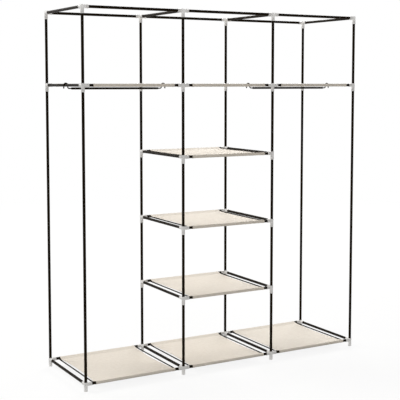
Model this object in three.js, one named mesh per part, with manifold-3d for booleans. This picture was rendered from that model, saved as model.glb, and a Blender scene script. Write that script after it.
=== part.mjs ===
// Portable wardrobe frame: eight thin steel uprights in two rows, joined at up to six levels by
// steel tubes pushed into moulded plastic connectors. Non-woven fabric shelves are sleeved over
// pairs of rails, wire spreaders plug into the same rails beside each fabric, and a hanging rod
// rests by its bent ends on the side tubes of the left bay and of the right bay.
// Millimetres, +Z up, front of the wardrobe towards -Y. The origin is on the floor, mid-frame.

import * as THREE from "three";
import { mergeVertices } from "three/addons/utils/BufferGeometryUtils.js";
import Module from "manifold-3d";

const wasm = await Module();
wasm.setup();

// Driving sizes of the frame, all measured between tube axes
const bayWidth = 493;
const frameDepth = 436;
const tierHeight = 330;
const topTierHeight = 338;
const tubeDiameter = 13;
const tubeWall = 0.5;

// Clearance between pieces that touch, and how far a cutting tool runs past what it cuts
const fit = 0.3;
const overrun = 1;

// Moulded connector, measured from the point where its tubes' axes meet
const socketWall = 1.7;
const socketStop = 1.7;
const armLength = 28;
const collarDrop = 30;
const collarRise = 9;
const capChamfer = 2.5;
const postIntoCap = 4;

// Foot plugged into the lowest collar
const footFlange = 1.7;
const footPlug = 10;
const footChamfer = 0.8;

// Wire spreader that keeps a shelf's two rails apart
const wireDiameter = 6;
const wireInset = 40;
const wirePlug = 4;

// Fabric shelf: a flat panel with a sewn tunnel at the front and at the back
const clothThickness = 1.2;
const clothInset = 47;
const seamSetback = 26;
const clothDrawIn = 9;
const clothSag = 2;

// Hanging rod: a bar between two thinner bent ends that hook over the side tubes
const rodDiameter = 10;
const rodDrop = 14.5;
const hookDiameter = 5.5;
const hookReach = 24;
const hookNeck = 5;
const hookTail = 15;
const leftRodShift = -20;
const rightRodShift = 0;

// Facet counts
const tubeSides = 8;
const wireSides = 8;
const bendSteps = 4;
const tunnelSteps = 8;
const panelSteps = 4;

// Sizes that follow from the ones above
const tubeRadius = tubeDiameter / 2;
const boreRadius = tubeRadius + fit;
const collarRadius = boreRadius + socketWall;
const railStart = boreRadius + socketStop + fit;
const lowestRail = footFlange + fit + collarDrop;
const bayNames = ["left", "centre", "right"];
const bayCount = bayNames.length;
const columns = Array.from({ length: bayCount + 1 }, (_, line) => (line - bayCount / 2) * bayWidth);
const rows = { front: -frameDepth / 2, back: frameDepth / 2 };
const tiers = ["bottom", "low", "middle", "high", "hanger"];
const levels = Object.fromEntries(tiers.map((name, tier) => [name, lowestRail + tier * tierHeight]));
levels.top = levels.hanger + topTierHeight;

const colours = { tube: 0x1d1611, plastic: 0xd9d7d4, cloth: 0xe8dece, rod: 0x120d0a };
const finishes = {
  tube: { color: colours.tube, roughness: 0.38, metalness: 0.2 },
  plastic: { color: colours.plastic, roughness: 0.45, metalness: 0 },
  cloth: { color: colours.cloth, roughness: 0.95, metalness: 0 },
  rod: { color: colours.rod, roughness: 0.35, metalness: 0.2 },
};

// A closed three.js geometry as a solid that can be joined and cut
function solidOf(geometry) {
  const bare = geometry.index ? geometry.toNonIndexed() : geometry.clone();
  bare.deleteAttribute("normal");
  bare.deleteAttribute("uv");
  const merged = mergeVertices(bare);
  return new wasm.Manifold(
    new wasm.Mesh({
      numProp: 3,
      vertProperties: merged.attributes.position.array,
      triVerts: new Uint32Array(merged.index.array),
    }),
  );
}

// A finished solid as a three.js geometry again
function geometryOf(solid) {
  const mesh = solid.getMesh();
  const geometry = new THREE.BufferGeometry();
  geometry.setAttribute("position", new THREE.BufferAttribute(mesh.vertProperties, 3));
  geometry.setIndex(new THREE.BufferAttribute(mesh.triVerts, 1));
  return geometry.toNonIndexed();
}

const joined = (solids) => solids.reduce((whole, piece) => whole.add(piece));
const cutAway = (solid, tools) => tools.reduce((left, tool) => left.subtract(tool), solid);

// Turns a profile of [radius, height] points about a line from start along direction
function turned(profile, start, direction, sides = tubeSides) {
  const points = profile.map(([radius, height]) => new THREE.Vector2(radius, height));
  const geometry = new THREE.LatheGeometry(points, sides);
  const turn = new THREE.Quaternion().setFromUnitVectors(new THREE.Vector3(0, 1, 0), direction);
  geometry.applyQuaternion(turn);
  geometry.translate(start.x, start.y, start.z);
  return geometry;
}

// Solid round bar between two points
function bar(start, end, radius, sides = tubeSides) {
  const run = end.clone().sub(start);
  const length = run.length();
  const profile = [[0, 0], [radius, 0], [radius, length], [0, length]];
  return turned(profile, start, run.normalize(), sides);
}

// Round tube, open at both ends
function tube(start, end, radius, wall, sides = tubeSides) {
  const run = end.clone().sub(start);
  const length = run.length();
  const inner = radius - wall;
  const profile = [[inner, 0], [radius, 0], [radius, length], [inner, length], [inner, 0]];
  return turned(profile, start, run.normalize(), sides);
}

const at = (x, y, z) => new THREE.Vector3(x, y, z);

// A path with one station at each of its points, so that a bend keeps its steps next to a long run
class StationPath extends THREE.Curve {
  constructor(points) {
    super();
    this.points = points;
  }

  getPoint(share, target = new THREE.Vector3()) {
    const place = THREE.MathUtils.clamp(share, 0, 1) * (this.points.length - 1);
    const before = Math.min(Math.floor(place), this.points.length - 2);
    return target.lerpVectors(this.points[before], this.points[before + 1], place - before);
  }

  getUtoTmapping(share) {
    return share;
  }
}

// Bent wire through a list of points
function bentWire(points, radius, sides) {
  const ring = [];
  for (let side = 0; side < sides; side++) {
    const angle = (side / sides) * 2 * Math.PI;
    ring.push(new THREE.Vector2(radius * Math.cos(angle), radius * Math.sin(angle)));
  }
  return new THREE.ExtrudeGeometry(new THREE.Shape(ring), {
    steps: points.length - 1,
    extrudePath: new StationPath(points),
  });
}

// Points on an arc in an upright plane; across gives the plane's horizontal direction
function arcPoints(centre, radius, fromDegrees, toDegrees, steps, across) {
  const points = [];
  for (let step = 0; step <= steps; step++) {
    const angle = THREE.MathUtils.degToRad(THREE.MathUtils.lerp(fromDegrees, toDegrees, step / steps));
    const side = across.clone().multiplyScalar(radius * Math.cos(angle));
    points.push(centre.clone().add(side).add(at(0, 0, radius * Math.sin(angle))));
  }
  return points;
}

// Upright: one line of vertical tube from its foot to the cap at the top
function uprightGeometry() {
  const bottom = footFlange + footPlug + fit;
  return tube(at(0, 0, bottom), at(0, 0, levels.top + postIntoCap), tubeRadius, tubeWall);
}

// Foot: a flange that stands on the floor and a plug inside the collar
function footGeometry() {
  const top = footFlange + footPlug;
  const profile = [
    [0, 0],
    [collarRadius - footChamfer, 0],
    [collarRadius, footChamfer],
    [collarRadius, footFlange],
    [tubeRadius, footFlange],
    [tubeRadius, top],
    [0, top],
  ];
  return turned(profile, at(0, 0, 0), at(0, 0, 1));
}

// The outside of one connector: its collar on the upright, its arm along the side tube and an arm
// for each rail. The point where the axes meet is centre, and inward is +1 in the front row.
function connectorBody(centre, inward, railSides, capped) {
  const topEdge = capped ? collarRise - capChamfer : collarRise;
  const profile = [[0, -collarDrop], [collarRadius, -collarDrop], [collarRadius, topEdge]];
  if (capped) profile.push([collarRadius - capChamfer, collarRise]);
  profile.push([0, collarRise]);
  const collar = turned(profile, centre, at(0, 0, 1));
  const arms = [at(0, inward, 0), ...railSides.map((side) => at(side, 0, 0))];
  const armSolids = arms.map((direction) =>
    bar(centre, centre.clone().addScaledVector(direction, armLength), collarRadius),
  );
  return joined([collar, ...armSolids].map(solidOf));
}

// What is bored out of one connector: the passage of its upright and a socket for each rail
function connectorBores(centre, railSides, capped) {
  const top = capped ? postIntoCap + fit : collarRise + overrun;
  const passage = bar(
    centre.clone().add(at(0, 0, -collarDrop - overrun)),
    centre.clone().add(at(0, 0, top)),
    boreRadius,
  );
  const sockets = railSides.map((side) =>
    bar(
      centre.clone().add(at(side * (boreRadius + socketStop), 0, 0)),
      centre.clone().add(at(side * (armLength + overrun), 0, 0)),
      boreRadius,
    ),
  );
  return [passage, ...sockets].map(solidOf);
}

// Rung: the side tube from front to back with the connector pressed on each of its ends
function rungGeometry(railSides, capped) {
  const front = at(0, rows.front, 0);
  const back = at(0, rows.back, 0);
  const sideTube = solidOf(bar(front, back, tubeRadius));
  const body = joined([
    sideTube,
    connectorBody(front, 1, railSides, capped),
    connectorBody(back, -1, railSides, capped),
  ]);
  const tubeBore = solidOf(bar(front, back, tubeRadius - tubeWall));
  return geometryOf(
    cutAway(body, [
      tubeBore,
      ...connectorBores(front, railSides, capped),
      ...connectorBores(back, railSides, capped),
    ]),
  );
}

// Rail between two uprights, centred on the middle of its bay
function railGeometry(y) {
  const half = bayWidth / 2 - railStart;
  return tube(at(-half, y, 0), at(half, y, 0), tubeRadius, tubeWall);
}

// Wire spreader: straight from rail to rail at the height of their axes, each end plugged into a
// hole in its rail
function spreaderGeometry(x) {
  const reach = frameDepth / 2 - tubeRadius + wirePlug;
  return bar(at(x, -reach, 0), at(x, reach, 0), wireDiameter / 2, wireSides);
}

// Shelf frame: the front rail and the back rail of a shelf with a wire spreader near each end
function shelfFrameGeometry() {
  const wireX = bayWidth / 2 - wireInset;
  const rails = [railGeometry(rows.front), railGeometry(rows.back)];
  const wires = [spreaderGeometry(-wireX), spreaderGeometry(wireX)];
  return geometryOf(joined([...rails, ...wires].map(solidOf)));
}

// Half outline of a sewn tunnel round a rail, from its seam over the top to its seam underneath.
// The rail is at x = railX, and inward is the direction of the panel.
function tunnelOutline(railX, inward, radius, reach, height) {
  const span = Math.hypot(reach, height);
  const touch = Math.atan2(height, reach) + Math.acos(radius / span);
  const points = [];
  for (let step = 0; step <= tunnelSteps; step++) {
    const angle = touch + (step / tunnelSteps) * (2 * Math.PI - 2 * touch);
    points.push(new THREE.Vector2(railX + inward * radius * Math.cos(angle), radius * Math.sin(angle)));
  }
  return points;
}

// Cross-section of the fabric from front to back: panel, two tunnels and their seams
function clothSection() {
  const outerRadius = boreRadius + clothThickness;
  const innerReach = seamSetback - 2 * clothThickness;
  const panelHalf = clothThickness / 2;
  const panelFrom = rows.front + seamSetback;
  const panelTo = rows.back - seamSetback;
  const panelPoints = (height) => {
    const points = [];
    for (let step = 0; step <= panelSteps; step++) {
      points.push(new THREE.Vector2(THREE.MathUtils.lerp(panelFrom, panelTo, step / panelSteps), height));
    }
    return points;
  };
  const frontTunnel = tunnelOutline(rows.front, 1, outerRadius, seamSetback, clothThickness);
  const backTunnel = tunnelOutline(rows.back, -1, outerRadius, seamSetback, clothThickness);
  const outline = [
    ...frontTunnel,
    ...panelPoints(-panelHalf),
    ...backTunnel.reverse(),
    ...panelPoints(panelHalf).reverse(),
  ];
  const section = new THREE.Shape(outline);
  section.holes = [
    new THREE.Path([
      ...tunnelOutline(rows.front, 1, boreRadius, innerReach, 0),
      new THREE.Vector2(rows.front + innerReach, 0),
    ]),
    new THREE.Path([
      ...tunnelOutline(rows.back, -1, boreRadius, innerReach, 0),
      new THREE.Vector2(rows.back - innerReach, 0),
    ]),
  ];
  return section;
}

// Fabric shelf: the section run across the bay, its side edges drawn in and its middle sagging
function shelfClothGeometry() {
  const halfWidth = bayWidth / 2 - clothInset;
  const geometry = new THREE.ExtrudeGeometry(clothSection(), {
    depth: 2 * halfWidth,
    steps: 2,
    bevelEnabled: false,
  });
  geometry.translate(0, 0, -halfWidth);
  const turn = new THREE.Matrix4().makeBasis(at(0, 1, 0), at(0, 0, 1), at(1, 0, 0));
  geometry.applyMatrix4(turn);
  const points = geometry.attributes.position;
  const freeDepth = frameDepth / 2 - seamSetback;
  for (let i = 0; i < points.count; i++) {
    const across = points.getX(i) / halfWidth;
    const along = THREE.MathUtils.clamp(points.getY(i) / freeDepth, -1, 1);
    const slack = 1 - along * along;
    points.setX(i, points.getX(i) - across * slack * clothDrawIn);
    points.setZ(i, points.getZ(i) - (1 - across * across) * slack * clothSag);
  }
  return geometry;
}

// One bent end of a hanging rod. The side tube's axis is at x = tubeX, and inward points to the bar.
function rodHook(tubeX, inward) {
  const bend = tubeRadius + fit + hookDiameter / 2;
  const across = at(inward, 0, 0);
  const overTube = arcPoints(at(tubeX, 0, 0), bend, 180, 0, 2 * bendSteps, across);
  const elbowCentre = at(tubeX + inward * (bend + rodDrop / 2), 0, -rodDrop / 2);
  const tail = at(tubeX - inward * bend, 0, -hookTail);
  const intoBar = arcPoints(elbowCentre, rodDrop / 2, 180, 270, bendSteps, across);
  const inBar = at(tubeX + inward * (hookReach + hookNeck), 0, -rodDrop);
  return bentWire([tail, ...overTube, ...intoBar, inBar], hookDiameter / 2, wireSides);
}

// Hanging rod, centred on the middle of its bay, its side tubes at height zero
function hangingRodGeometry() {
  const half = bayWidth / 2;
  const length = bayWidth - 2 * hookReach;
  const profile = [
    [0, 0],
    [hookDiameter / 2, 0],
    [rodDiameter / 2, hookNeck],
    [rodDiameter / 2, length - hookNeck],
    [hookDiameter / 2, length],
    [0, length],
  ];
  const middle = turned(profile, at(-half + hookReach, 0, -rodDrop), at(1, 0, 0));
  return geometryOf(joined([middle, rodHook(-half, 1), rodHook(half, -1)].map(solidOf)));
}

// A named piece at its place
function piece(name, geometry, finish, x, y, z) {
  const mesh = new THREE.Mesh(geometry, new THREE.MeshStandardMaterial(finishes[finish]));
  mesh.name = name;
  mesh.position.set(x, y, z);
  return mesh;
}

const wardrobe = new THREE.Group();

// Uprights and feet
const upright = uprightGeometry();
const foot = footGeometry();
for (const [row, y] of Object.entries(rows)) {
  columns.forEach((x, column) => {
    wardrobe.add(piece(`upright_${row}_${column + 1}`, upright, "tube", x, y, 0));
    wardrobe.add(piece(`foot_${row}_${column + 1}`, foot, "plastic", x, y, 0));
  });
}

// Bays of each level, counted from the left, that hold a shelf
const allBays = [0, 1, 2];
const middleBay = [1];
const shelfBays = { bottom: allBays, low: middleBay, middle: middleBay, high: middleBay, hanger: allBays };
const bayCentre = (bay) => (columns[bay] + columns[bay + 1]) / 2;

// Rungs: each has a rail arm towards every bay that its level uses
const railBays = { ...shelfBays, top: allBays };
for (const [level, bays] of Object.entries(railBays)) {
  columns.forEach((x, column) => {
    const railSides = [];
    if (bays.includes(column - 1)) railSides.push(-1);
    if (bays.includes(column)) railSides.push(1);
    if (railSides.length === 0) return;
    const rung = rungGeometry(railSides, level === "top");
    wardrobe.add(piece(`rung_${level}_${column + 1}`, rung, "plastic", x, 0, levels[level]));
  });
}

// Top rails
const topRail = railGeometry(0);
for (const [row, y] of Object.entries(rows)) {
  for (const bay of allBays) {
    wardrobe.add(piece(`top_rail_${row}_${bayNames[bay]}`, topRail, "tube", bayCentre(bay), y, levels.top));
  }
}

// Shelves
const shelfFrame = shelfFrameGeometry();
const shelfCloth = shelfClothGeometry();
for (const [level, bays] of Object.entries(shelfBays)) {
  for (const bay of bays) {
    const place = `${level}_${bayNames[bay]}`;
    wardrobe.add(piece(`shelf_frame_${place}`, shelfFrame, "tube", bayCentre(bay), 0, levels[level]));
    wardrobe.add(piece(`shelf_fabric_${place}`, shelfCloth, "cloth", bayCentre(bay), 0, levels[level]));
  }
}

// Hanging rods in the two outer bays
const hangingRod = hangingRodGeometry();
wardrobe.add(piece("hanging_rod_left", hangingRod, "rod", bayCentre(0), leftRodShift, levels.hanger));
wardrobe.add(piece("hanging_rod_right", hangingRod, "rod", bayCentre(2), rightRodShift, levels.hanger));

export default wardrobe;
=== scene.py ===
# %% [markdown]
# # Portable wardrobe: steel tubes, moulded connectors and sewn fabric shelves
# The real object is a kit. Thin painted steel tubes are pushed into plastic connectors, and each
# shelf is a piece of non-woven fabric sleeved over two of the tubes. The CAD model fixes where all
# of it is and how the two hanging rods slide, so it is loaded first and never moved. Everything
# after that hides a plain CAD solid and puts a finer piece in the same place. Lengths are in
# metres, +Z is up and the front of the wardrobe faces -Y.

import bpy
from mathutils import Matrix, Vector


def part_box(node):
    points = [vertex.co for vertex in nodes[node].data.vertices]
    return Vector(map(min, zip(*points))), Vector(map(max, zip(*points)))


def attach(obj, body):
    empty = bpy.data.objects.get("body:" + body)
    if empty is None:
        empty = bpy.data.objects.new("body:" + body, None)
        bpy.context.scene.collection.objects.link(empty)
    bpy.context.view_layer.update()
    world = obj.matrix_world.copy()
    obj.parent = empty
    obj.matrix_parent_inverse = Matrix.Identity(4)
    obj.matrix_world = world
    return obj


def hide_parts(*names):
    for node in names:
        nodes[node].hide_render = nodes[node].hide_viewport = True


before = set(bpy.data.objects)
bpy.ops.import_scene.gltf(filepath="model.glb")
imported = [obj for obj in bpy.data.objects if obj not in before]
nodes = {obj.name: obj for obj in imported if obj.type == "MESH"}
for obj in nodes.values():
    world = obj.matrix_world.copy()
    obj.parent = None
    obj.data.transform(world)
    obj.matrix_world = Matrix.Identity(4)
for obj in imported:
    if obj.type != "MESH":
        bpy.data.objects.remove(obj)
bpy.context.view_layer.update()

# %% Blender's modules and a millimetre
import bisect
import math
import random

import bmesh
import bpy
from mathutils import Matrix, Vector, noise

MM = 0.001
scene = bpy.context.scene

# %% [markdown]
# ## Camera
# The photograph was taken from the front left, at the height of the hanging rods, with a rather
# long lens. A camera could be aimed by eye, but here its place, turn and focal length were fitted
# to the 36 points where the tubes meet, so that the frame lands on the same pixels. The small
# vertical shift keeps the uprights almost parallel, as in the picture.

# %% Camera
camera_data = bpy.data.cameras.new("camera")
camera_data.sensor_width = 36
camera_data.lens = 84.9
camera_data.shift_y = -0.10
camera = bpy.data.objects.new("camera", camera_data)
camera.location = (-2.326, -4.014, 1.357)
camera.rotation_euler = (math.radians(85.40), 0, math.radians(-29.74))
scene.collection.objects.link(camera)
scene.camera = camera
print("camera at", tuple(round(c, 3) for c in camera.location), "lens", camera_data.lens)

# %% [markdown]
# ## Node helpers
# A material is a small graph of nodes. Setting each socket by hand takes many lines, so one helper
# feeds the named inputs of a node, each with a link or a value, and the others make the nodes that
# come up most often and hand back the socket that the next node needs.

# %% Node helpers
def feed(tree, node, inputs):
    """Links each input that is given a socket, and sets any other to the value"""
    for key, value in inputs.items():
        if isinstance(value, bpy.types.NodeSocket):
            tree.links.new(value, node.inputs[key])
        else:
            node.inputs[key].default_value = value


def add_node(tree, kind, inputs=None, **options):
    """A new node with its options set and its inputs fed"""
    made = tree.nodes.new(kind)
    for option, value in options.items():
        setattr(made, option, value)
    feed(tree, made, inputs or {})
    return made


def combined(tree, operation, first, second):
    """The socket of two numbers added, multiplied or compared by a Math node"""
    return add_node(tree, "ShaderNodeMath", {0: first, 1: second}, operation=operation).outputs[0]


def mixed_colour(tree, share, first, second):
    """The socket of a colour that goes from first to second as share goes from 0 to 1"""
    ends = {0: share}
    for index, colour in ((6, first), (7, second)):
        ends[index] = colour if isinstance(colour, bpy.types.NodeSocket) else (*colour, 1)
    return add_node(tree, "ShaderNodeMix", ends, data_type="RGBA").outputs[2]


def ranged(tree, value, low, high, to_low=0.0, to_high=1.0):
    """The socket of a value stretched from low..high to to_low..to_high and held inside it"""
    ends = {"Value": value, "From Min": low, "From Max": high, "To Min": to_low, "To Max": to_high}
    return add_node(tree, "ShaderNodeMapRange", ends).outputs["Result"]


def noise_at(tree, place, scale, detail, **more):
    """The socket of a noise, mostly from 0.3 to 0.7; scale is its waves in one unit of place"""
    inputs = {"Vector": place, "Scale": scale, "Detail": detail, **more}
    return add_node(tree, "ShaderNodeTexNoise", inputs).outputs["Fac"]


def bump_from(tree, height, distance, strength):
    """The socket of a normal that a height of at most the distance has disturbed"""
    inputs = {"Strength": strength, "Distance": distance, "Height": height}
    return add_node(tree, "ShaderNodeBump", inputs).outputs[0]


def new_finish(name):
    """A new material and its node tree, which already holds a Principled shader"""
    made = bpy.data.materials.new(name)
    made.use_nodes = True
    return made, made.node_tree

# %% [markdown]
# ## Studio
# A studio picture on white needs a backdrop that is white to the eye but does not flood the object
# with light. Light Path tells the two apart: rays from the camera see plain white, and those that
# light the object see a dim sky that is darker towards the horizon, as under a soft ceiling. Gloss
# sees the white only low behind the wardrobe and a dim room elsewhere, so the uprights stay
# nearly black while the tubes that run to the back pick up some light. The floor is a wide pale
# disc. Close to the wardrobe it shows a soft shadow, and far out it fades to the same white as the
# sky, so no horizon is seen.

# %% Sky
scene.view_settings.view_transform = "Standard"
SKY_LIGHT = 0.34  # on the object, from high up
HORIZON_LIGHT = 0.10
ROOM_LIGHT = 0.12  # for gloss, in front of the wardrobe
CEILING_SHARE = 0.15  # of what gloss sees low down, left high up

world = bpy.data.worlds.new("studio")
world.use_nodes = True
scene.world = world
sky = world.node_tree
sky.nodes.clear()


def seen_rays(tree):
    """The socket that is 1 for rays of the camera, of gloss and of glass, and 0 for light"""
    path = add_node(tree, "ShaderNodeLightPath").outputs
    camera_or_gloss = combined(tree, "MAXIMUM", path["Is Camera Ray"], path["Is Glossy Ray"])
    return combined(tree, "MAXIMUM", camera_or_gloss, path["Is Transmission Ray"])


# A direction's Z is 0 at the horizon and 1 straight up, and its Y is 1 straight behind
heading = add_node(sky, "ShaderNodeTexCoord").outputs["Generated"]
towards = add_node(sky, "ShaderNodeSeparateXYZ", {0: heading}).outputs
overhead = ranged(sky, towards["Z"], 0.0, 0.6, HORIZON_LIGHT, SKY_LIGHT)
behind = ranged(sky, towards["Y"], -0.3, 0.2, ROOM_LIGHT, 1.0)
low_down = ranged(sky, towards["Z"], 0.05, 0.45, 1.0, CEILING_SHARE)
from_camera = add_node(sky, "ShaderNodeLightPath").outputs["Is Camera Ray"]
backdrop = combined(sky, "MAXIMUM", from_camera, combined(sky, "MULTIPLY", behind, low_down))
dim = add_node(sky, "ShaderNodeBackground", {"Color": (1, 0.99, 0.975, 1), "Strength": overhead})
white = add_node(sky, "ShaderNodeBackground", {"Color": (1, 1, 1, 1), "Strength": backdrop})
chosen = {0: seen_rays(sky), 1: dim.outputs[0], 2: white.outputs[0]}
either = add_node(sky, "ShaderNodeMixShader", chosen)
add_node(sky, "ShaderNodeOutputWorld", {"Surface": either.outputs[0]})
print("sky light", SKY_LIGHT, "horizon light", HORIZON_LIGHT, "room light", ROOM_LIGHT)

# %% Floor
FLOOR_RADIUS = 14
FLOOR_DROP = 0.2 * MM  # below the feet, so that the two never share a plane
NEAR_WHITE = 0.88  # share of plain white close to the wardrobe
FADE = (2.2, 6.5)  # the distances between which it grows to all of it

floor_material, tree = new_finish("floor_pale")
tree.nodes.clear()
place = add_node(tree, "ShaderNodeTexCoord").outputs["Object"]
reach = add_node(tree, "ShaderNodeVectorMath", {0: place}, operation="LENGTH").outputs["Value"]
seen = seen_rays(tree)
white_share = combined(tree, "MULTIPLY", ranged(tree, reach, *FADE, NEAR_WHITE, 1.0), seen)
pale = mixed_colour(tree, seen, (0.52, 0.52, 0.52), (0.95, 0.95, 0.95))
paint = add_node(tree, "ShaderNodeBsdfDiffuse", {"Color": pale}).outputs[0]
glow = add_node(tree, "ShaderNodeEmission", {"Color": (1, 1, 1, 1), "Strength": 1.0}).outputs[0]
surface = add_node(tree, "ShaderNodeMixShader", {0: white_share, 1: paint, 2: glow})
add_node(tree, "ShaderNodeOutputMaterial", {"Surface": surface.outputs[0]})

disc = bmesh.new()
bmesh.ops.create_circle(disc, cap_ends=True, segments=96, radius=FLOOR_RADIUS)
bmesh.ops.translate(disc, verts=disc.verts, vec=(0, 0, -FLOOR_DROP))
floor_mesh = bpy.data.meshes.new("floor")
disc.to_mesh(floor_mesh)
disc.free()
floor_mesh.materials.append(floor_material)
floor = bpy.data.objects.new("floor", floor_mesh)
scene.collection.objects.link(floor)
print("floor", 2 * FLOOR_RADIUS, "m across")

# %% [markdown]
# ## Lamps
# Large soft boxes give soft shadows. In the photograph the shelf tops are clearly brighter than
# the strips that face the camera, and a shelf with another one close above it is as bright as the
# rest. So the main light comes from behind and not from far up, as it does from a bright backdrop,
# and gets in between the shelves. A weaker box in front keeps the near faces from going dull. All
# of them stand well away, so that the highest and the lowest shelf get nearly the same light.

# %% Lamps
def soft_box(name, azimuth, elevation, distance, size, power):
    """A square area lamp aimed at the middle of the wardrobe, a metre up, from that direction"""
    lamp = bpy.data.lights.new(name, "AREA")
    lamp.shape = "SQUARE"
    lamp.size = size
    lamp.energy = power
    lamp.color = (1, 0.985, 0.965)
    turn, rise = math.radians(azimuth), math.radians(elevation)
    flat = math.cos(rise)
    outward = Vector((math.sin(turn) * flat, -math.cos(turn) * flat, math.sin(rise)))
    box = bpy.data.objects.new(name, lamp)
    box.location = Vector((0, 0, 1.0)) + outward * distance
    box.rotation_mode = "QUATERNION"
    box.rotation_quaternion = outward.to_track_quat("Z", "Y")
    box.visible_camera = False
    scene.collection.objects.link(box)


for side, azimuth in (("left", -140), ("right", 140)):
    soft_box(f"lamp_back_{side}", azimuth, elevation=30, distance=8.0, size=3.6, power=400)
soft_box("lamp_front", azimuth=-20, elevation=25, distance=7.0, size=4.4, power=136)
print("lamps:", len(bpy.data.lights))

# %% [markdown]
# ## Where the posts, levels and shelves are
# Every new piece goes where the CAD has its node. The uprights' boxes give the posts' axes, and the
# rungs' boxes give the levels, because a connector's collar reaches 30 mm below its tubes' axes.

# %% Posts, levels and shelves
COLLAR_DROP = 30 * MM
ROWS = {"front": 1, "back": -1}  # with the direction of the other row along Y
LEVELS = ("bottom", "low", "middle", "high", "hanger", "top")
BAYS = {"left": (1, 2), "centre": (2, 3), "right": (3, 4)}  # with the posts beside each bay


def box_middle(name):
    """The middle of a CAD node's box"""
    low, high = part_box(name)
    return (low + high) / 2


posts = {}
for row in ROWS:
    for column in (1, 2, 3, 4):
        middle = box_middle(f"upright_{row}_{column}")
        posts[row, column] = Vector((middle.x, middle.y, 0))
heights = {level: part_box(f"rung_{level}_2")[0].z + COLLAR_DROP for level in LEVELS}
FABRIC = "shelf_fabric_"
shelf_places = [name.removeprefix(FABRIC) for name in nodes if name.startswith(FABRIC)]
print("levels, mm:", {level: round(height / MM, 1) for level, height in heights.items()})
print("shelves:", shelf_places)

# %% [markdown]
# ## Round pieces
# Tubes, sleeves, feet and rods are all bodies of revolution. The simplest way is half a profile,
# drawn as a few points and edges, that the spin operator turns once about the Z axis. The piece is
# then turned to its direction and moved to its place in the mesh itself, so that the object stays
# at the origin.

# %% Turned pieces
UP = Vector((0, 0, 1))
SAME_PLACE = 0.001 * MM  # vertices closer than this are merged


def turned(profile, sides=32, closed=False):
    """A round body about +Z from (radius, height) points; closed joins the last to the first"""
    shape = bmesh.new()
    points = [shape.verts.new((radius, 0, height)) for radius, height in profile]
    pairs = list(zip(points, points[1:])) + ([(points[-1], points[0])] if closed else [])
    lines = [shape.edges.new(pair) for pair in pairs]
    bmesh.ops.spin(shape, geom=points + lines, cent=(0, 0, 0), axis=UP, angle=2 * math.pi,
                   steps=sides, use_merge=True)
    bmesh.ops.remove_doubles(shape, verts=shape.verts, dist=SAME_PLACE)
    bmesh.ops.recalc_face_normals(shape, faces=shape.faces)
    return shape


def laid(shape, start, direction):
    """Turns a shape's +Z to the direction and moves its origin to the start"""
    turn = UP.rotation_difference(Vector(direction)).to_matrix().to_4x4()
    bmesh.ops.transform(shape, matrix=Matrix.Translation(start) @ turn, verts=shape.verts)
    return shape

# %% Finished pieces
made_count = {}


def finished(name, mesh, finish, stands_for, body="frame", crease=40):
    """An object for a mesh or bmesh, with the material of its finish, its body and the CAD nodes it
    stands for; the finish's slot is not used
    """
    if isinstance(mesh, bmesh.types.BMesh):
        shape, mesh = mesh, bpy.data.meshes.new(name)
        shape.to_mesh(mesh)
        shape.free()
    mesh.shade_smooth()
    mesh.set_sharp_from_angle(angle=math.radians(crease))
    surface, slot = finish
    mesh.materials.clear()
    mesh.materials.append(surface)
    piece = bpy.data.objects.new(name, mesh)
    scene.collection.objects.link(piece)
    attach(piece, body)
    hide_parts(*stands_for)
    kind = name.split("_")[0]
    made_count[kind] = made_count.get(kind, 0) + 1
    return piece

# %% [markdown]
# ## Painted steel
# The tubes have a thin dark brown powder coat. Cured powder is never quite smooth: it has a fine
# orange peel, a slightly cloudy gloss and small worn specks. Three noises at different scales give
# these, one for the bump, one for the roughness and one for the specks. The specular level is very
# low and its tint warm, because the uprights in the photograph are nearly black and a little brown
# although their surroundings are white. The wires and the rods use the same recipe with their own
# values.

# %% Painted steel
def painted_steel(name, dark, worn, roughness, peel):
    """Powder-coated steel: dark and worn are its colours, peel is the height of its orange peel"""
    coat, tree = new_finish(name)
    place = add_node(tree, "ShaderNodeTexCoord").outputs["Object"]
    specks = ranged(tree, noise_at(tree, place, 420.0, 4.0), 0.58, 0.78)
    feed(tree, tree.nodes["Principled BSDF"], {
        "Base Color": mixed_colour(tree, specks, dark, worn),
        "Roughness": ranged(tree, noise_at(tree, place, 45.0, 3.0), 0.3, 0.7, *roughness),
        "Normal": bump_from(tree, noise_at(tree, place, 900.0, 1.0), peel, strength=0.4),
        "Specular IOR Level": 0.05,
        "Specular Tint": (1, 0.85, 0.65, 1)})
    return coat


tube_coat = painted_steel("tube_powder_coat", dark=(0.0090, 0.0055, 0.0023),
                          worn=(0.0150, 0.0100, 0.0050), roughness=(0.36, 0.48), peel=0.03 * MM)
wire_coat = painted_steel("wire_enamel", dark=(0.0085, 0.0052, 0.0022),
                          worn=(0.0140, 0.0094, 0.0048), roughness=(0.36, 0.48), peel=0.02 * MM)
rod_coat = painted_steel("rod_enamel", dark=(0.0076, 0.0048, 0.0022),
                         worn=(0.0130, 0.0088, 0.0048), roughness=(0.36, 0.46), peel=0.02 * MM)
# A finish is a material with the slot of the record that it belongs to
tube_finish = (tube_coat, "tube_steel")
wire_finish = (wire_coat, "wire_steel")
rod_finish = (rod_coat, "rod_steel")
print("steel finishes:", tube_finish[1], wire_finish[1], rod_finish[1])

# %% [markdown]
# ## Tubes of the frame
# The frame is made of separate lengths of thin-walled tube, 13 mm across. An upright is a stack of
# lengths that meet inside the connectors between the floor and the top. A side tube runs from front
# to back and a rail from left to right, each pushed 19 mm into the connector at both of its ends. A
# tube is a closed ring profile turned about its axis, so it has a real wall and open ends.

# %% Tube lengths
TUBE_RADIUS = 6.5 * MM
TUBE_WALL = 0.5 * MM
SOCKET_FLOOR = 8.8 * MM  # from the crossing of the axes to where a pushed-in tube stops
JOIN_GAP = 1 * MM


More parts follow.
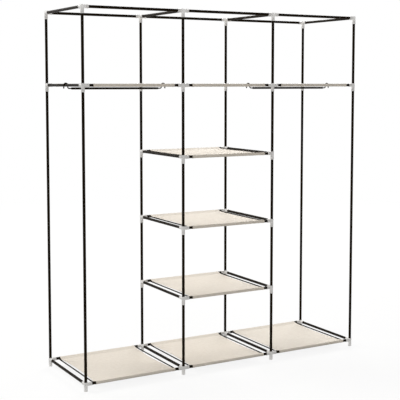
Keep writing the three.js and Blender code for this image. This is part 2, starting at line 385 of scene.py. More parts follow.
def tube_length(name, start, end, stands_for):
    """One length of tube from start to end"""
    run = end - start
    inner, reach, edge = TUBE_RADIUS - TUBE_WALL, run.length, 0.15 * MM
    profile = [(inner, 0), (TUBE_RADIUS - edge, 0), (TUBE_RADIUS, edge),
               (TUBE_RADIUS, reach - edge), (TUBE_RADIUS - edge, reach), (inner, reach)]
    tube = laid(turned(profile, closed=True), start, run.normalized())
    finished(name, tube, tube_finish, stands_for)


for (row, column), axis in posts.items():
    upright = f"upright_{row}_{column}"
    low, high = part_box(upright)
    joins = [heights[level] for level in LEVELS[1:-1] if f"rung_{level}_{column}" in nodes]
    ends = [low.z, *joins, high.z]
    for part, (bottom, top) in enumerate(zip(ends, ends[1:]), start=1):
        start = axis + UP * (bottom + (JOIN_GAP if bottom in joins else 0))
        end = axis + UP * (top - (JOIN_GAP if top in joins else 0))
        tube_length(f"post_{row}_{column}_length_{part}", start, end, [upright])
print("post lengths:", made_count["post"])

# %% Side tubes and rails
rungs = sorted(name for name in nodes if name.startswith("rung_"))
for rung in rungs:
    _, level, column = rung.split("_")
    front, back = (posts[row, int(column)] + UP * heights[level] for row in ROWS)
    inset = (back - front).normalized() * SOCKET_FLOOR
    tube_length(f"side_tube_{level}_{column}", front + inset, back - inset, [rung])


def rail(name, row, bay, level, stands_for):
    """One rail of a bay, between the two posts of that row"""
    left, right = (posts[row, column] + UP * heights[level] for column in BAYS[bay])
    inset = Vector((SOCKET_FLOOR, 0, 0))
    tube_length(name, left + inset, right - inset, stands_for)


for row in ROWS:
    for bay in BAYS:
        rail(f"rail_top_{row}_{bay}", row, bay, "top", [f"top_rail_{row}_{bay}"])
for place in shelf_places:
    level, bay = place.split("_")
    for row in ROWS:
        rail(f"rail_{place}_{row}", row, bay, level, [f"shelf_frame_{place}"])
print("side tubes:", made_count["side"], "rails:", made_count["rail"])

# %% [markdown]
# ## Moulded plastic
# The connectors are milky plastic with thin walls, so the dark tubes in them show through as grey,
# most of all inside the sleeves and less at the thick rims of their mouths. The caps on top and the
# lowest collars, which hold the pale plugs of the feet, stay whiter. Real light scattering would
# show that too, but slowly and not in a model that other programs read. The grey is instead painted
# shade: a number stored at each point of the mesh mixes two colours. A very faint painted glow
# stands for the light that milky plastic passes on from the side behind.

# %% Moulded plastic
def moulded_plastic(name, solid, over_tube=None):
    """Milky plastic: solid is its own colour, over_tube the painted shade where a dark tube shows
    through
    """
    plastic, tree = new_finish(name)
    place = add_node(tree, "ShaderNodeTexCoord").outputs["Object"]
    flow = noise_at(tree, place, 130.0, 3.0)
    shade = ranged(tree, flow, 0.35, 0.65, 0.94, 1.0)
    colour = (*solid, 1)
    if over_tube:
        # Painted shade: greyer where a dark tube lies behind the thin plastic
        seated = add_node(tree, "ShaderNodeAttribute", attribute_name="seated").outputs["Fac"]
        colour = mixed_colour(tree, seated, solid, over_tube)
    grey = add_node(tree, "ShaderNodeCombineColor", {0: shade, 1: shade, 2: shade}).outputs[0]
    tint = add_node(tree, "ShaderNodeMix", {0: 1.0, 6: colour, 7: grey}, data_type="RGBA",
                    blend_type="MULTIPLY")
    feed(tree, tree.nodes["Principled BSDF"], {
        "Base Color": tint.outputs[2],
        "Roughness": ranged(tree, flow, 0.3, 0.7, 0.36, 0.5),
        "Normal": bump_from(tree, noise_at(tree, place, 1400.0, 2.0), 0.03 * MM, strength=0.5),
        "Specular IOR Level": 0.5,
        # Painted light: a very faint glow for the light that milky plastic passes on from behind
        "Emission Color": (1, 0.99, 0.97, 1),
        "Emission Strength": 0.09})
    return plastic


# The second colour is painted shade, where a dark tube shows through the plastic
connector_finish = (moulded_plastic("connector_milky", solid=(0.93, 0.925, 0.915),
                                    over_tube=(0.63, 0.622, 0.61)), "connector_plastic")
foot_finish = (moulded_plastic("foot_milky", solid=(0.88, 0.875, 0.86)), "foot_plastic")
print("plastic finishes:", connector_finish[1], foot_finish[1])

# %% [markdown]
# ## Connectors
# A connector is a collar on the post with an arm for the side tube and one for each rail. Moulded
# parts have soft fillets where the sleeves run together, and the mouth of each sleeve has a low
# rim. Booleans and bevels could give that, but bevels fail where three round sleeves cross. Here
# the sleeves simply overlap, a voxel remesh melts them into one skin, smoothing rounds the inner
# corners, and only then are the bores cut, so that they stay crisp. There are twelve shapes in all:
# front or back, with or without a cap, and with a rail on the left, on the right or on both sides.

# %% Sleeves, skin and bores
SLEEVE_RADIUS = 8.1 * MM
RIM_RADIUS = 8.5 * MM
BORE_RADIUS = 6.8 * MM
ARM_LENGTH = 28 * MM
COLLAR_RISE = 9 * MM
SLOPE_START, RIM_START = 4.6 * MM, 3.8 * MM  # the step up to a sleeve's rim, back from its mouth
SOFT_EDGE, CAP_CHAMFER = 0.7 * MM, 2.5 * MM
SOCKET_STOP = 1.7 * MM  # wall between a post and the end of a side tube or rail
POST_INTO_CAP = 4.3 * MM
SMOOTH_ROUND = 40


def sleeve(length):
    """The outside of one sleeve, from the middle of the connector to its rimmed mouth"""
    return turned([(0, 0), (SLEEVE_RADIUS, 0), (SLEEVE_RADIUS, length - SLOPE_START),
                   (RIM_RADIUS, length - RIM_START), (RIM_RADIUS, length - SOFT_EDGE),
                   (RIM_RADIUS - SOFT_EDGE, length), (0, length)], SMOOTH_ROUND)


def crown(capped):
    """The short top of the collar, closed by a chamfered cap on the highest connectors"""
    chamfer = CAP_CHAMFER if capped else SOFT_EDGE
    return turned([(0, 0), (RIM_RADIUS, 0), (RIM_RADIUS, COLLAR_RISE - chamfer),
                   (RIM_RADIUS - chamfer, COLLAR_RISE), (0, COLLAR_RISE)], SMOOTH_ROUND)


def bore(start, end):
    """A cutter for one socket, slightly wider at the mouth so that a tube finds its way in"""
    lead = 0.5 * MM
    return turned([(0, start), (BORE_RADIUS, start), (BORE_RADIUS, end - lead),
                   (BORE_RADIUS + lead, end), (BORE_RADIUS + lead, end + MM), (0, end + MM)],
                  SMOOTH_ROUND)


def scratch_object(name, shape):
    """An object that is only used while another is made"""
    mesh = bpy.data.meshes.new(name)
    shape.to_mesh(mesh)
    shape.free()
    made = bpy.data.objects.new(name, mesh)
    scene.collection.objects.link(made)
    return made

# %% One connector shape
def connector_shape(inward, rail_sides, capped):
    """A connector round the origin: inward is the direction of the other row along Y"""
    arms = [Vector((0, inward, 0)), *[Vector((side, 0, 0)) for side in rail_sides]]
    directions = {tuple(arm): ARM_LENGTH for arm in arms} | {(0, 0, -1): COLLAR_DROP}
    body = bmesh.new()
    parts = [laid(sleeve(length), (0, 0, 0), way) for way, length in directions.items()]
    for part in [*parts, crown(capped)]:
        passing = bpy.data.meshes.new("part")
        part.to_mesh(passing)
        part.free()
        body.from_mesh(passing)
        bpy.data.meshes.remove(passing)
    shell = scratch_object("connector_shell", body)
    skin = shell.modifiers.new("skin", "REMESH")
    skin.mode, skin.voxel_size = "VOXEL", 0.6 * MM
    fillets = shell.modifiers.new("fillets", "SMOOTH")
    fillets.factor, fillets.iterations = 0.5, 14
    thinned = shell.modifiers.new("thinned", "DECIMATE")
    thinned.ratio = 0.13
    passage_top = -POST_INTO_CAP if capped else -COLLAR_RISE
    passage = scratch_object("passage", bore(passage_top, COLLAR_DROP))
    passage.data.transform(Matrix.Rotation(math.pi, 4, "X"))
    cutters = [passage]
    if not capped:
        cutters.append(scratch_object("passage_top", bore(0, COLLAR_RISE)))
    for arm in arms:
        socket = laid(bore(BORE_RADIUS + SOCKET_STOP, ARM_LENGTH), (0, 0, 0), arm)
        cutters.append(scratch_object("socket", socket))
    for cutter in cutters:
        cut = shell.modifiers.new("cut", "BOOLEAN")
        cut.operation, cut.solver, cut.object = "DIFFERENCE", "EXACT", cutter
    bpy.context.view_layer.update()
    moulded = shell.evaluated_get(bpy.context.evaluated_depsgraph_get())
    mesh = bpy.data.meshes.new_from_object(moulded)
    for made in [shell, *cutters]:
        bpy.data.objects.remove(made)
    return mesh

# %% Painted shade where dark tubes show through
HUB_TUBE_SHADE = 0.7  # in the middle, where a post runs through
RIM_TUBE_SHADE = 0.35  # at a sleeve's mouth, with 1 for the rest of the sleeve
BAND_START, BAND_GROWTH, RIM_FADE = 8 * MM, 5 * MM, 4 * MM


def within_one(share):
    """The share, held between 0 and 1"""
    return min(1, max(0, share))


def mark_tube_shade(mesh, inward, rail_sides, level):
    """Stores at each point of a connector its painted shade: how much of a dark tube lies behind it
    """
    sleeves = {(0, inward, 0): ARM_LENGTH} | {(side, 0, 0): ARM_LENGTH for side in rail_sides}
    if level != "bottom":  # where the collar holds a pale foot plug instead
        sleeves[0, 0, -1] = COLLAR_DROP
    values = []
    for vertex in mesh.vertices:
        in_foot_collar = level == "bottom" and vertex.co.z < -TUBE_RADIUS
        seated = 0.0 if level == "top" or in_foot_collar else HUB_TUBE_SHADE
        for way, length in sleeves.items():
            along = vertex.co.dot(Vector(way))
            aside = (vertex.co - Vector(way) * along).length
            if along > BORE_RADIUS and aside < 1.2 * RIM_RADIUS:
                grown = within_one((along - BAND_START) / BAND_GROWTH)
                kept = within_one((length - along) / RIM_FADE)
                seated = max(seated, grown * (RIM_TUBE_SHADE + (1 - RIM_TUBE_SHADE) * kept))
        values.append(seated)
    mesh.attributes.new("seated", "FLOAT", "POINT").data.foreach_set("value", values)

# %% All connectors
shapes = {}
for rung in rungs:
    _, level, column = rung.split("_")
    column = int(column)
    low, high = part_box(rung)
    middle = posts["front", column].x
    rail_sides = tuple(side for side, reach in ((-1, middle - low.x), (1, high.x - middle))
                       if reach > ARM_LENGTH / 2)
    for row, inward in ROWS.items():
        key = (inward, rail_sides, level == "top")
        if key not in shapes:
            shapes[key] = connector_shape(*key)
        mesh = shapes[key].copy()
        mark_tube_shade(mesh, inward, rail_sides, level)
        mesh.transform(Matrix.Translation(posts[row, column] + UP * heights[level]))
        finished(f"connector_{level}_{row}_{column}", mesh, connector_finish, [rung], crease=35)
print("connectors:", made_count["connector"], "from", len(shapes), "shapes of",
      [len(mesh.polygons) for mesh in shapes.values()], "faces")

# %% [markdown]
# ## Feet
# Each post ends in a plug with a thin flange that stands on the floor. It is turned like the tubes,
# with a rounded edge on the flange and a slight taper on the plug, so that it can be pushed in.

# %% Feet
FLANGE = 1.7 * MM
TAPER_IN, TAPER_DOWN = 0.6 * MM, 1.5 * MM  # at the top of the plug
# Flange from its hollow underside round its rolled edge: mm in from the edge, mm up
FLANGE_EDGE = ((2.5, 0.2), (2, 0), (0.8, 0), (0.25, 0.25), (0, 0.8), (0.1, 1.4))


def foot_profile(height):
    """Foot from the floor up: flange with a rolled edge, then the plug inside the collar"""
    edge = [(RIM_RADIUS - inset * MM, up * MM) for inset, up in FLANGE_EDGE]
    return [(0, edge[0][1]), *edge, (RIM_RADIUS - 0.5 * MM, FLANGE), (TUBE_RADIUS, FLANGE),
            (TUBE_RADIUS, height - TAPER_DOWN), (TUBE_RADIUS - TAPER_IN, height), (0, height)]


for (row, column), axis in posts.items():
    node = f"foot_{row}_{column}"
    finished(f"foot_plug_{row}_{column}", laid(turned(foot_profile(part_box(node)[1].z)), axis, UP),
             foot_finish, [node])
print("feet:", made_count["foot"])

# %% [markdown]
# ## Wire spreaders
# Beside each fabric a straight wire keeps the two rails apart. It lies at the height of their axes,
# so from the side it hides behind the side tube. Each end is turned down to a thinner pin, which
# sits in a hole in the rail, and the small shoulder behind the pin bears on the rail's wall.

# %% Wire spreaders
WIRE_RADIUS = 3 * MM
PIN_RADIUS = 2 * MM
PIN_LENGTH = 4 * MM
WIRE_INSET = 40 * MM


def spreader_profile(length):
    """Pin, rounded shoulder and wire up to its middle, then the same again backwards"""
    soft = 0.3 * MM
    half = [(0, -PIN_LENGTH), (PIN_RADIUS - soft, -PIN_LENGTH), (PIN_RADIUS, soft - PIN_LENGTH),
            (PIN_RADIUS, 0), (WIRE_RADIUS - soft, 0), (WIRE_RADIUS, soft)]
    return half + [(radius, length - height) for radius, height in reversed(half)]


for place in shelf_places:
    level, bay = place.split("_")
    left, right = (posts["front", column].x for column in BAYS[bay])
    start_y = posts["front", 1].y + TUBE_RADIUS
    length = posts["back", 1].y - TUBE_RADIUS - start_y
    for side, x in (("left", left + WIRE_INSET), ("right", right - WIRE_INSET)):
        wire = turned(spreader_profile(length), sides=20)
        laid(wire, (x, start_y, heights[level]), (0, 1, 0))
        finished(f"wire_{place}_{side}", wire, wire_finish, [f"shelf_frame_{place}"])
print("wires:", made_count["wire"])

# %% [markdown]
# ## Bent wire
# The ends of the hanging rods are bent from round wire. A curve with a bevel could follow the path,
# but the mesh operators tell the same story as the bending machine: a ring of edges is extruded
# along each straight and spun about a pin for each bend. The ends are closed and their rims
# bevelled round.

# %% Bent wire
def edges_between(geometry):
    """The edges of the geometry whose two ends are in it as well"""
    ends = {g for g in geometry if isinstance(g, bmesh.types.BMVert)}
    return [g for g in geometry if isinstance(g, bmesh.types.BMEdge) and ends.issuperset(g.verts)]


def wire_from(start, direction, radius, sides=16):
    """A bmesh that holds one ring round start, square to direction, and the ring's edges"""
    wire = bmesh.new()
    bmesh.ops.create_circle(wire, segments=sides, radius=radius)
    laid(wire, start, direction)
    return wire, list(wire.edges)


def run_on(wire, ring, step):
    """Extrudes the ring straight on by the step"""
    grown = bmesh.ops.extrude_edge_only(wire, edges=ring)["geom"]
    far_ring = [g for g in grown if isinstance(g, bmesh.types.BMVert)]
    bmesh.ops.translate(wire, verts=far_ring, vec=step)
    return edges_between(grown)


def bend_on(wire, ring, pin, axis, degrees, steps):
    """Spins the ring about a pin"""
    ends = list(dict.fromkeys(vertex for edge in ring for vertex in edge.verts))
    grown = bmesh.ops.spin(wire, geom=ends + ring, cent=pin, axis=axis, angle=math.radians(degrees),
                           steps=steps, use_merge=False)["geom_last"]
    return edges_between(grown)


def close_ends(wire, radius):
    """Closes both ends of the wire and rounds their rims"""
    bmesh.ops.remove_doubles(wire, verts=wire.verts, dist=SAME_PLACE)
    rims = [edge for edge in wire.edges if edge.is_boundary]
    bmesh.ops.holes_fill(wire, edges=rims, sides=0)
    bmesh.ops.recalc_face_normals(wire, faces=wire.faces)
    bmesh.ops.bevel(wire, geom=rims, offset=0.6 * radius, offset_type="OFFSET", segments=3,
                    profile=0.5, affect="EDGES", material=-1, clamp_overlap=True)
    return wire

# %% [markdown]
# ## Hanging rods
# A hanging rod is a 10 mm bar with a thinner bent end at each side. The end comes out of the bar,
# turns up, goes over the side tube and hangs down outside it, so the rod can slide along its two
# tubes. The bar is turned with tapered necks.

# %% Hanging rods
ROD_RADIUS = 5 * MM
HOOK_RADIUS = 2.75 * MM
ROD_DROP = 14.5 * MM
HOOK_REACH = 24 * MM
NECK = 5 * MM
SWELL = ((3.2, 0.7), (4.5, 3.6), (4.9, 4.5))  # radius and distance along the neck, in mm
TAIL = 15 * MM
BEND = TUBE_RADIUS + 0.3 * MM + HOOK_RADIUS
REST = 0.25 * MM  # how far the hooks settle down on to their tubes

for side in ("left", "right"):
    node = f"hanging_rod_{side}"
    y = box_middle(node).y
    level = heights["hanger"] - REST
    tubes = [Vector((posts["front", column].x, y, level)) for column in BAYS[side]]
    length = (tubes[1] - tubes[0]).length - 2 * HOOK_REACH
    profile = [(0, 0), (HOOK_RADIUS, 0), *[(radius * MM, reach * MM) for radius, reach in SWELL],
               (ROD_RADIUS, NECK + 0.6 * MM)]
    profile += [(radius, length - reach) for radius, reach in reversed(profile)]
    bar_start = tubes[0] + Vector((HOOK_REACH, 0, REST - ROD_DROP))
    finished(f"rod_bar_{side}", laid(turned(profile), bar_start, (1, 0, 0)), rod_finish, [node],
             body=f"rod_{side}")
    for end, tube, inward in (("left", tubes[0], 1), ("right", tubes[1], -1)):
        elbow = (ROD_DROP - REST) / 2
        tail = tube + Vector((-inward * BEND, 0, -TAIL))
        wire, ring = wire_from(tail, (0, 0, 1), HOOK_RADIUS)
        ring = run_on(wire, ring, (0, 0, TAIL))
        ring = bend_on(wire, ring, tube, (0, 1, 0), degrees=inward * 180, steps=22)
        pin = tube + Vector((inward * (BEND + elbow), 0, -elbow))
        ring = run_on(wire, ring, (0, 0, -elbow))
        ring = bend_on(wire, ring, pin, (0, 1, 0), degrees=-inward * 90, steps=12)
        run_on(wire, ring, (inward * (HOOK_REACH + NECK - BEND - elbow), 0, 0))
        finished(f"rod_hook_{side}_{end}", close_ends(wire, HOOK_RADIUS), rod_finish, [node],
                 body=f"rod_{side}")
print("rod pieces:", made_count["rod"])

# %% [markdown]
# ## Non-woven fabric
# The shelves are spun-bonded fabric: fine fibres laid at random and pressed together at a regular
# field of small dots. The pattern has to follow the cloth round the rails, so it reads the UV map,
# which holds the flat cut in metres. A Voronoi texture without randomness, turned by 45 degrees,
# gives the dots, stretched noises give the fibres, and a broad noise gives the cloudy look that
# such fabric has because its fibres never lie evenly. The fibres are smooth plastic, so the cloth
# has a soft gloss that makes the upper shelves, which are seen almost edge on, look lighter.

# %% Non-woven fabric
DOT_PITCH = 2.0 * MM
DOT_CORE, DOT_RIM = 0.18, 0.34  # where a dot starts to fade and where it ends, in pitches
FIBRE_SHADE, DOT_SHADE = 0.16, 0.22  # how far fibres and dots go to their darker colours


def nonwoven(name, light, dark):
    """Cream spun-bonded fabric with pressed dots; light and dark are the colours of its clouds"""
    cloth, tree = new_finish(name)
    cut = add_node(tree, "ShaderNodeUVMap", uv_map="cut").outputs["UV"]
    angled = {"Vector": cut, "Rotation": (0, 0, math.radians(45)), "Scale": (1 / DOT_PITCH,) * 3}
    lattice = add_node(tree, "ShaderNodeMapping", angled).outputs[0]
    cells = {"Vector": lattice, "Scale": 1.0, "Randomness": 0.0}
    nearest = add_node(tree, "ShaderNodeTexVoronoi", cells, voronoi_dimensions="2D")
    dots = ranged(tree, nearest.outputs["Distance"], DOT_CORE, DOT_RIM, 1.0, 0.0)
    hairs = []
    for turn, stretch in ((0, (900.0, 160.0, 1.0)), (0.9, (700.0, 130.0, 1.0))):
        way = {"Vector": cut, "Rotation": (0, 0, turn), "Scale": stretch}
        laid_fibres = add_node(tree, "ShaderNodeMapping", way).outputs[0]
        hairs.append(noise_at(tree, laid_fibres, 1.0, 3.0, Distortion=0.6))
    fibres = combined(tree, "ADD", *hairs)
    clouds = noise_at(tree, cut, 60.0, 5.0, Roughness=0.6)
    body = mixed_colour(tree, ranged(tree, clouds, 0.34, 0.66), dark, light)
    fibre_share = ranged(tree, fibres, 0.7, 1.3, 0.0, FIBRE_SHADE)
    body = mixed_colour(tree, fibre_share, body, tuple(0.80 * c for c in dark))
    dot_share = combined(tree, "MULTIPLY", dots, DOT_SHADE)
    body = mixed_colour(tree, dot_share, body, tuple(0.86 * c for c in dark))
    pressed = combined(tree, "SUBTRACT", fibres, dots)
    feed(tree, tree.nodes["Principled BSDF"], {
        "Base Color": body,
        "Roughness": ranged(tree, dots, 0.0, 1.0, 0.72, 0.56),
        "Normal": bump_from(tree, pressed, 0.07 * MM, strength=0.3),
        "Specular IOR Level": 0.5,
        "Sheen Weight": 0.08,
        "Sheen Roughness": 0.5})
    return cloth


cloth_finish = (nonwoven("shelf_nonwoven", light=(0.785, 0.728, 0.645), dark=(0.735, 0.672, 0.583)),
                "shelf_cloth")
print("cloth finish ready, dots every", DOT_PITCH / MM, "mm")

# %% [markdown]
# The seams are sewn with a cotton thread of nearly the same cream. It is too thin for a pattern of
# its own, so a stretched noise only varies its tone from stitch to stitch.

# %% Sewing thread
def thread(name, light, dark):
    """Cream thread whose tone varies between the two colours"""
    yarn, tree = new_finish(name)
    tone = noise_at(tree, add_node(tree, "ShaderNodeTexCoord").outputs["Object"], 700.0, 2.0)
    feed(tree, tree.nodes["Principled BSDF"], {
        "Base Color": mixed_colour(tree, ranged(tree, tone, 0.35, 0.65), dark, light),
        "Roughness": ranged(tree, tone, 0.3, 0.7, 0.6, 0.8),
        "Specular IOR Level": 0.3})
    return yarn


thread_finish = (thread("seam_thread", light=(0.84, 0.79, 0.71), dark=(0.70, 0.64, 0.55)),
                 "shelf_cloth")
print("sewn parts take their finish from:", thread_finish[1])

# %% [markdown]
# ## How a shelf is sewn
# The fabric is cut as a rectangle. Its two side edges are folded under and hemmed, then its front
# and back ends are wrapped round the rails and sewn to the underside, which makes a tunnel for each
# rail. The section below follows the cloth's middle from one raw edge to the other: seam allowance
# under the panel, up round the rail, seam, panel, and the same at the back.

# %% Section of a shelf
CLOTH = 0.4 * MM
LAYER = 0.6 * MM  # from one folded layer to the next
TUNNEL_RADIUS = TUBE_RADIUS + 0.5 * CLOTH + 0.1 * MM
SEAM_SETBACK = 26 * MM  # from the rail's axis to the seam
ALLOWANCE = 7 * MM
ALLOWANCE_DROP = 2.4 * LAYER  # how far under the panel the seam allowance lies
HEM = 10 * MM
PANEL_ROWS = 84  # of faces, from seam to seam
half_depth = posts["back", 1].y
seam_line = half_depth - SEAM_SETBACK


def steps(start, end, count):
    """Points from start up to, and not with, end"""
    return [start + (end - start) * step / count for step in range(count)]


def front_section():
    """(y, z) points of the front tunnel, from the raw edge to the seam on top"""
    under = -ALLOWANCE_DROP
    rail_y = -half_depth
    seam_y = -seam_line
    span = Vector((SEAM_SETBACK, under))
    low_angle = math.atan2(span.y, span.x) - math.acos(TUNNEL_RADIUS / span.length)
    top_angle = math.acos(TUNNEL_RADIUS / SEAM_SETBACK) - 2 * math.pi
    on_rail = [Vector((rail_y + TUNNEL_RADIUS * math.cos(a), TUNNEL_RADIUS * math.sin(a)))
               for a in steps(low_angle, top_angle, 16) + [top_angle]]
    raw, seam = Vector((seam_y + ALLOWANCE, under)), Vector((seam_y, under))
    return (steps(raw, seam, 3) + steps(seam, on_rail[0], 6) + on_rail[:-1]
            + steps(on_rail[-1], Vector((seam_y, 0)), 6))


front = front_section()
panel = steps(Vector((-seam_line, 0)), Vector((seam_line, 0)), PANEL_ROWS)
section = front + panel + [Vector((-p.x, p.y)) for p in ([Vector((-seam_line, 0))] + front[::-1])]
along_cut = [0.0]
for before, after in zip(section, section[1:]):
    along_cut.append(along_cut[-1] + (after - before).length)
cut_length = along_cut[-1]
print("section of", len(section), "points, cloth cut", round(cut_length / MM, 1), "mm long")

# %% [markdown]
# The side hems are a second, small section across the cloth: 10 mm folded under, a tight round
# fold, the full width, and the other hem. Both sections together say where any point of the flat
# cut ends up, first across and then along.

# %% Folding the flat cut
low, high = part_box("shelf_fabric_low_centre")
half_width = (high.x - low.x) / 2
cut_width = 2 * half_width + 2 * HEM
FOLD = 0.35 * MM
EASE = 2.5 * MM  # over which the top layer comes down again beside the hem


def across_fold(u):
    """Distance from the bay's middle and height over a single layer, at a place across the cut"""
    side = -1 if u < cut_width / 2 else 1
    from_fold = min(u, cut_width - u) - HEM
    if from_fold <= -FOLD:
        return side * (half_width + from_fold), 0.0
    if from_fold >= FOLD:
        proud = within_one((HEM + EASE - from_fold) / EASE)
        return side * (half_width - from_fold), LAYER * proud
    turn = from_fold / FOLD * math.pi / 2
    return side * (half_width - FOLD + LAYER / 2 * math.cos(turn)), LAYER / 2 * (1 + math.sin(turn))


def along_fold(v):
    """(y, z) and the outward (y, z) of the cloth for a place along the cut"""
    index = max(0, min(len(section) - 2, bisect.bisect_right(along_cut, v) - 1))
    share = (v - along_cut[index]) / (along_cut[index + 1] - along_cut[index])
    ahead = section[index + 1] - section[index]
    lean = [ahead.normalized()]
    if share < 0.5 and index > 0:
        lean.append((section[index] - section[index - 1]).normalized())
    if share >= 0.5 and index < len(section) - 2:
        lean.append((section[index + 2] - section[index + 1]).normalized())
    heading = sum(lean, Vector((0, 0))).normalized()
    return section[index] + ahead * share, Vector((-heading.y, heading.x))

# %% [markdown]
# ## Drape of one shelf
# Stretched cloth is never a perfect plane. Its free side edges are drawn in between the rails, the
# middle sags a little, long shallow ripples run in the direction of the pull, the stitching gathers
# the cloth next to the seams, and a few creases start at the corners. Each shelf gets its own
# seeded set of these, so no two look alike and every run gives the same ones.

# %% Drape of one shelf
DRAW_IN = 9 * MM
SAG = 2 * MM
# Height, noise waves a metre across and along, and how far off in the noise it is read
RIPPLES = ((0.7 * MM, 17, 5, 0), (0.07 * MM, 70, 14, 9))
EDGE_FLUTTER = 1.8 * MM
GATHER, GATHER_REACH = 0.7 * MM, 11 * MM
# Creases that start at a corner: degrees from the seam, and then their sizes in mm
CREASE_TURN, CREASE_LENGTH, CREASE_WIDTH, CREASE_HEIGHT = (18, 72), (70, 150), (5, 9), (0.5, 1.1)


def drape(seed):
    """A function that gives how far in and how far up a point of this shelf's panel moves"""
    chance = random.Random(seed)
    offset = chance.uniform(0, 50)
    creases = []
    for corner_x in (-1, 1):
        for corner_y in (-1, 1):
            for _ in range(3):
                angle = math.radians(chance.uniform(*CREASE_TURN))
                way = Vector((-corner_x * math.cos(angle), -corner_y * math.sin(angle)))
                creases.append((Vector((corner_x * half_width, corner_y * seam_line)), way,
                                chance.uniform(*CREASE_LENGTH) * MM,
                                chance.uniform(*CREASE_WIDTH) * MM,
                                chance.choice((-1, 1)) * chance.uniform(*CREASE_HEIGHT) * MM))

    def move(x, y):
        along = max(-1.0, min(1.0, y / seam_line))
        slack = 1 - along * along
        edge = abs(x) / half_width
        rise = -SAG * (1 - edge * edge) * slack
        for size, waves_x, waves_y, apart in RIPPLES:
            spot = Vector((x * waves_x, y * waves_y, offset + apart))
            rise += size * noise.noise(spot) * slack ** 0.5
        rise += EDGE_FLUTTER * noise.noise(Vector((x * 3, y * 11, offset + 20))) * edge ** 6 * slack
        to_seam = seam_line - abs(y)
        if to_seam >= 0:
            gather = math.exp(-to_seam / GATHER_REACH) * min(1, to_seam / (3 * MM))
            rise += GATHER * noise.noise(Vector((x * 110, 4 * along, offset + 30))) * gather
        for corner, way, reach, width, height in creases:
            out = Vector((x, y)) - corner
            run = out.dot(way)
            if 0 < run < reach:
                aside = (out - way * run).length / (width * (0.5 + run / reach))
                rise += height * math.sin(math.pi * run / reach) * math.exp(-aside * aside)
        return x * (1 - DRAW_IN / half_width * slack), rise

    return move

# %% [markdown]
# ## Cloth and stitches
# The cloth starts as a flat sheet, a row of edges that is extruded step by step along the cut. Its
# flat place becomes its UV map, and then every vertex is moved to where the sewing puts it.
# Solidify gives it its thickness. The stitches are tiny squashed balls of twenty faces that follow
# the same two sections, along both seams and both hems, on the top and underneath.

# %% Flat cut
PANEL_STEPS = 92
NEAR_FOLD = 1.6 * MM
CLEAR = 5 * MM  # from a fold to where the even steps begin


def across_marks():
    """Places across the cut that get an edge, closer together at the folds"""
    hem_marks = [0.0, 0.33 * HEM, 0.66 * HEM, HEM - NEAR_FOLD, HEM - FOLD, HEM - 0.5 * FOLD, HEM,
                 HEM + 0.5 * FOLD, HEM + FOLD, HEM + NEAR_FOLD]
    even = cut_width - 2 * (HEM + CLEAR)
    inner = [HEM + CLEAR + even * step / PANEL_STEPS for step in range(PANEL_STEPS + 1)]
    return hem_marks + inner + [cut_width - mark for mark in reversed(hem_marks)]


def flat_cut():
    """The flat sheet with its UV map, which is its place on the flat in metres"""
    sheet = bmesh.new()
    row = [sheet.verts.new((u, 0, 0)) for u in across_marks()]
    edges = [sheet.edges.new(pair) for pair in zip(row, row[1:])]
    for before, after in zip(along_cut, along_cut[1:]):
        edges = run_on(sheet, edges, (0, after - before, 0))
    bmesh.ops.reverse_faces(sheet, faces=sheet.faces)
    flat = sheet.loops.layers.uv.new("cut")
    for face in sheet.faces:
        for loop in face.loops:
            loop[flat].uv = loop.vert.co.xy
    return sheet


flat_sheet = flat_cut()
flat_sheet.normal_update()
flat_sheet.faces.ensure_lookup_table()
print("flat cut", round(cut_width / MM), "x", round(cut_length / MM), "mm, faces",
      len(flat_sheet.faces), "facing up:", flat_sheet.faces[0].normal.z > 0)

# %% Sewn shelf
def sewn_place(u, v, move, above):
    """Where a point over a place of the flat cut ends up, round the bay's middle"""
    x, proud = across_fold(u)
    place, outward = along_fold(v)
    if abs(place.x) <= seam_line + ALLOWANCE:
        moved_x, rise = move(x, place.x)
    else:
        moved_x, rise = x, 0.0
    flat = place + outward * (above + proud)
    return Vector((moved_x, flat.x, flat.y + rise))


def sewn(shape, move, home):
    """A copy of a flat shape where the sewing puts it; its Z is its height over the cloth"""
    made = shape.copy()
    for vertex in made.verts:
        vertex.co = home + sewn_place(vertex.co.x, vertex.co.y, move, vertex.co.z)
    return made


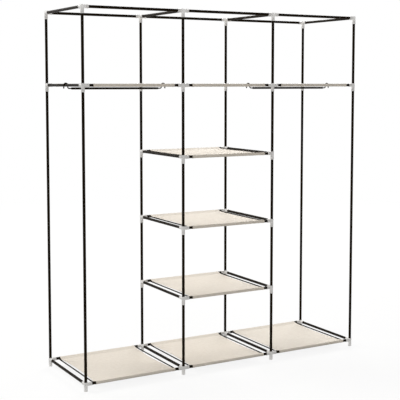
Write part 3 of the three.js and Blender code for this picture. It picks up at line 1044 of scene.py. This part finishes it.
STITCH = 3.4 * MM
THREAD = 0.25 * MM
SEAM_MARGIN = 1.5 * MM  # from a hem's fold to the first stitch of a seam
HEM_SEAM = HEM + 7 * MM


def flat_stitches():
    """The stitches of both seams, top and underneath, and of both hems, on the flat cut"""
    stitches = bmesh.new()
    top_seam = along_cut[len(front)]
    seam_start = HEM + SEAM_MARGIN
    rows = [((seam_start, v), (cut_width - seam_start, v))
            for v in (ALLOWANCE, top_seam, cut_length - top_seam, cut_length - ALLOWANCE)]
    rows += [((u, 0), (u, cut_length)) for u in (HEM_SEAM, cut_width - HEM_SEAM)]
    size = Matrix.Diagonal((THREAD, 0.40 * STITCH, 0.8 * THREAD, 1))
    for start, end in rows:
        run = Vector(end) - Vector(start)
        turn = Matrix.Rotation(-run.angle_signed(Vector((0, 1))), 4, "Z")
        count = int(run.length / STITCH)
        for stitch in range(count):
            middle = Vector(start) + run * (stitch + 0.5) / count
            lift = Matrix.Translation((*middle, 0.5 * CLOTH + 0.3 * THREAD))
            bmesh.ops.create_icosphere(stitches, subdivisions=1, radius=1,
                                       matrix=lift @ turn @ size)
    return stitches


flat_thread = flat_stitches()
print("stitches on each shelf:", len(flat_thread.faces) // 20)

# %% All shelves
def sewn_shelf(place, seed):
    """The cloth of one shelf and its stitches"""
    level, bay = place.split("_")
    node = FABRIC + place
    move = drape(seed)
    home = Vector((box_middle(node).x, 0, heights[level]))
    piece = finished(f"cloth_{place}", sewn(flat_sheet, move, home), cloth_finish, [node],
                     crease=60)
    thickness = piece.modifiers.new("thickness", "SOLIDIFY")
    thickness.thickness, thickness.offset = CLOTH, 0
    stitches = finished(f"stitches_{place}", sewn(flat_thread, move, home), thread_finish, [],
                        crease=180)
    return len(piece.data.polygons)


for seed, place in enumerate(shelf_places):
    print(place, "cloth faces:", sewn_shelf(place, seed))
flat_sheet.free()
flat_thread.free()

# %% [markdown]
# ## Pieces made
# The count of the new pieces of each kind.

# %% Pieces made
print("pieces:", made_count, "in all", sum(made_count.values()))
